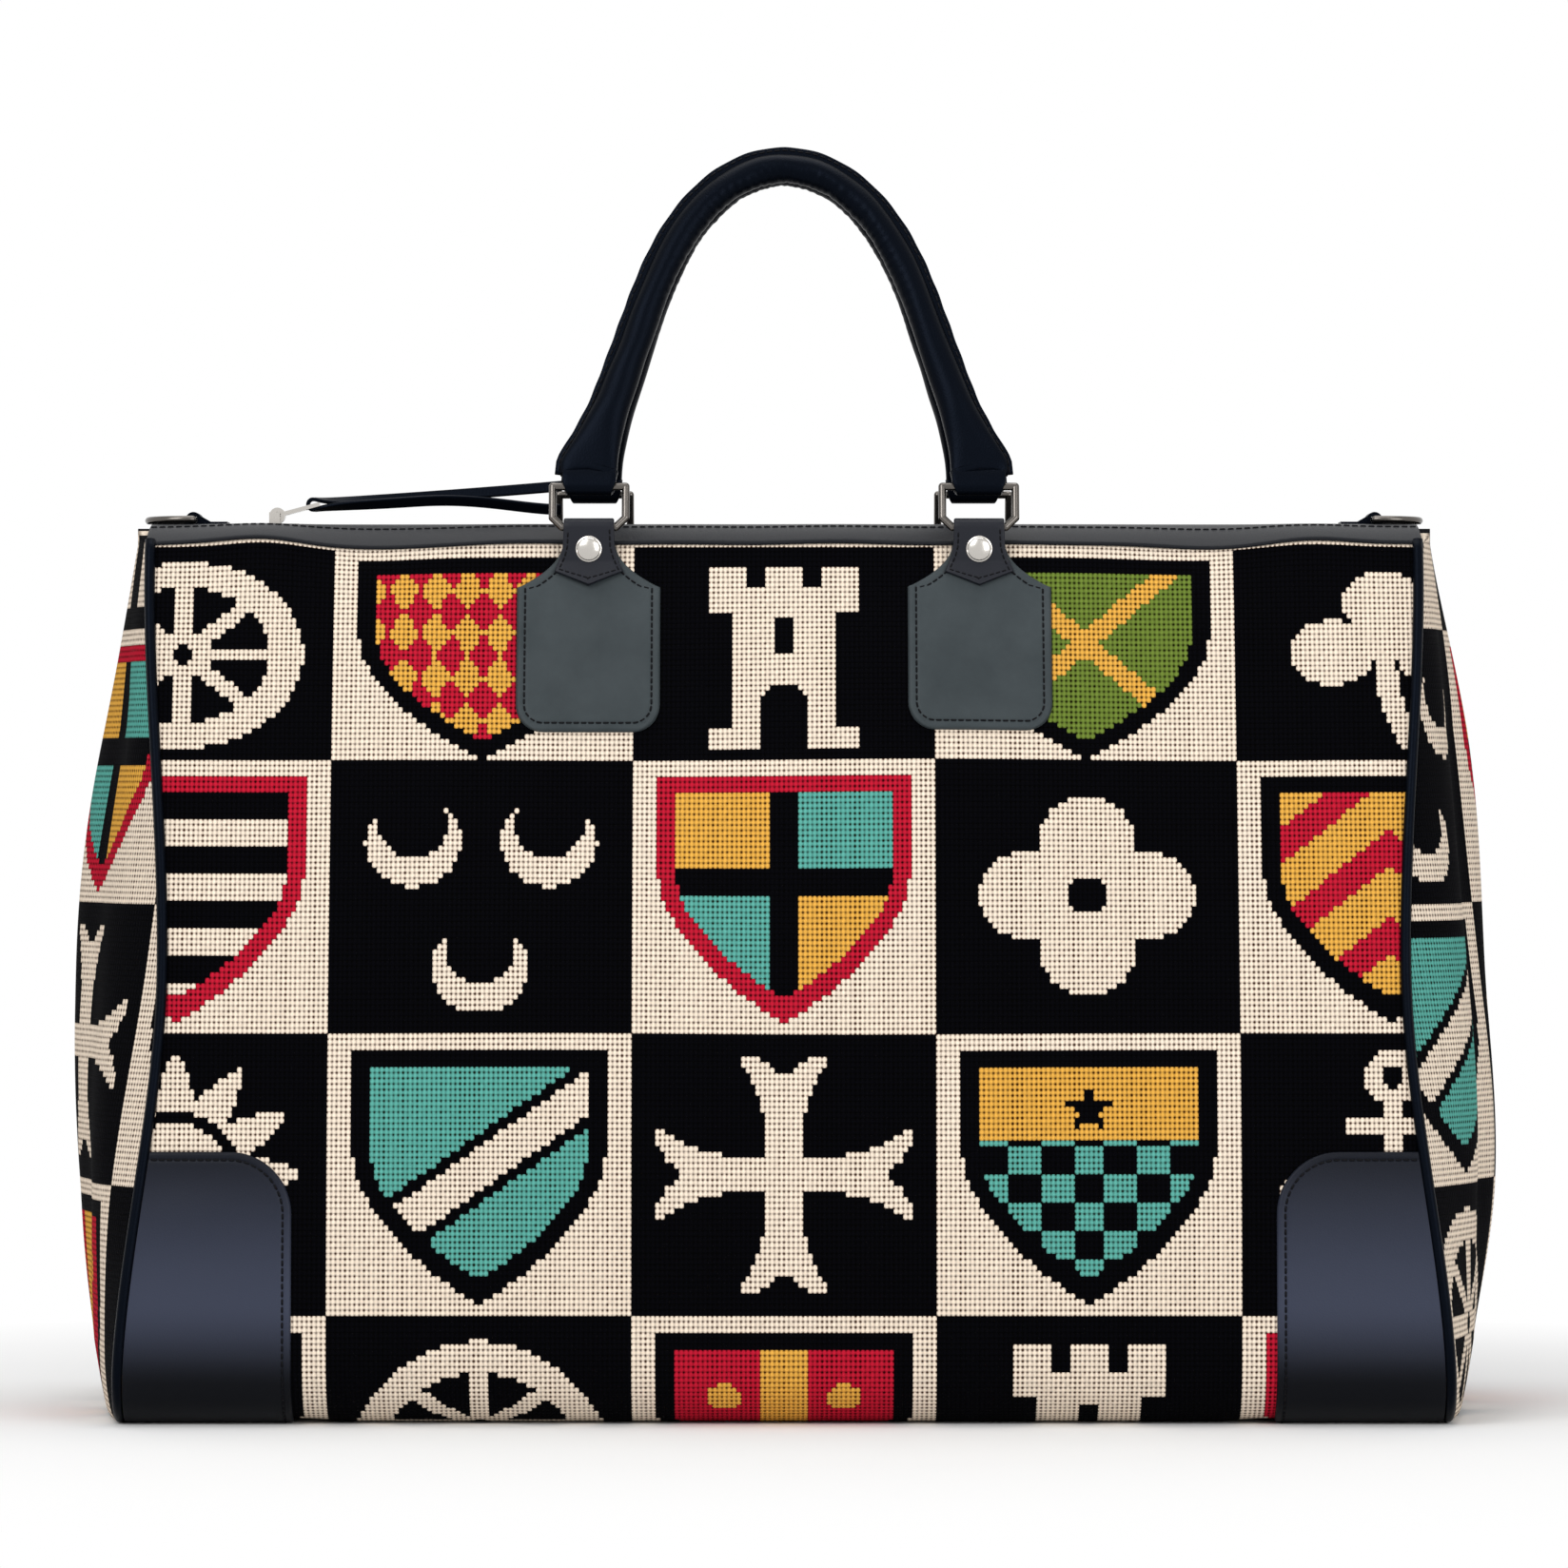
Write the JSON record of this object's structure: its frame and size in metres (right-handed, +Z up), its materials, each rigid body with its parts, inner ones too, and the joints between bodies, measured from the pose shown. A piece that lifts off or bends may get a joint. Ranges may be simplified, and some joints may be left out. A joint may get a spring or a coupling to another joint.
{
  "type": "weekender bag",
  "caption": "Soft needlepoint travel bag with checked panels, leather corners and piping, a zipped top, rolled leather handles on rings and D-rings at the ends.",
  "frame": {"origin": "middle of the base, on the surface the bag stands on", "axes": "+X along the zip to the right as seen from the front, -Y out of the front panel, +Z up"},
  "size_m": [0.587, 0.2432, 0.5207],
  "materials": {
    "needlepoint": "coarse woven stitch, black and cream check",
    "black_leather": "smooth, soft sheen",
    "patch_leather": "smooth, matte",
    "nickel": "polished nickel",
    "zip_metal": "satin",
    "zip_cloth": "woven tape",
    "lining_cloth": "plain weave",
    "board": "plain"
  },
  "bodies": {
    "bag": {"base_board": "board", "body_wrap": "needlepoint", "corner_patch_back_left": "patch_leather", "corner_patch_back_right": "patch_leather", "corner_patch_front_left": "patch_leather", "corner_patch_front_right": "patch_leather", "d_ring_loop_left": "black_leather", "d_ring_loop_right": "black_leather", "gusset_left": "needlepoint", "gusset_right": "needlepoint", "handle_tab_back_left": "patch_leather", "handle_tab_back_right": "patch_leather", "handle_tab_front_left": "patch_leather", "handle_tab_front_right": "patch_leather", "lining": "lining_cloth", "piping_left": "black_leather", "piping_right": "black_leather", "tab_rivet_back_left": "nickel", "tab_rivet_back_right": "nickel", "tab_rivet_front_left": "nickel", "tab_rivet_front_right": "nickel", "zip_binding_back": "black_leather", "zip_binding_front": "black_leather", "zip_stop": "zip_metal", "zip_tape_back": "zip_cloth", "zip_tape_front": "zip_cloth", "zip_teeth_back": "zip_metal", "zip_teeth_front": "zip_metal"},
    "front_rings": {"handle_ring_front_left": "nickel", "handle_ring_front_right": "nickel"},
    "front_handle": {"handle_front": "black_leather"},
    "back_rings": {"handle_ring_back_left": "nickel", "handle_ring_back_right": "nickel"},
    "back_handle": {"handle_back": "black_leather"},
    "left_d_ring": {"d_ring_left": "nickel"},
    "right_d_ring": {"d_ring_right": "nickel"},
    "slider": {"zip_slider": "nickel"},
    "pull": {"zip_pull": "nickel", "zip_thong": "black_leather"}
  },
  "joints": [
    {"name": "front_rings_turn", "type": "hinge", "parent": "bag", "child": "front_rings", "pos_m": [0, -0.05225, 0.3617], "axis": [1, 0, 0], "range_deg": [0, 115]},
    {"name": "front_handle_turn", "type": "hinge", "parent": "front_rings", "child": "front_handle", "pos_m": [0, -0.04737, 0.3784], "axis": [1, 0, 0], "range_deg": [0, 60]},
    {"name": "back_rings_turn", "type": "hinge", "parent": "bag", "child": "back_rings", "pos_m": [0, 0.05225, 0.3617], "axis": [-1, 0, 0], "range_deg": [0, 115]},
    {"name": "back_handle_turn", "type": "hinge", "parent": "back_rings", "child": "back_handle", "pos_m": [0, 0.04737, 0.3784], "axis": [-1, 0, 0], "range_deg": [0, 60]},
    {"name": "left_d_ring_turn", "type": "hinge", "parent": "bag", "child": "left_d_ring", "pos_m": [-0.244, 0, 0.36615], "axis": [0, 1, 0], "range_deg": [0, 150]},
    {"name": "right_d_ring_turn", "type": "hinge", "parent": "bag", "child": "right_d_ring", "pos_m": [0.244, 0, 0.36615], "axis": [0, -1, 0], "range_deg": [0, 150]},
    {"name": "zip_slide", "type": "slide", "parent": "bag", "child": "slider", "axis": [1, 0, 0], "range_m": [0, 0.42], "deforming": ["zip_teeth_front", "zip_teeth_back"]},
    {"name": "pull_turn", "type": "hinge", "parent": "slider", "child": "pull", "pos_m": [-0.2096, 0, 0.36815], "axis": [0, -1, 0], "range_deg": [0, 110]}
  ]
}
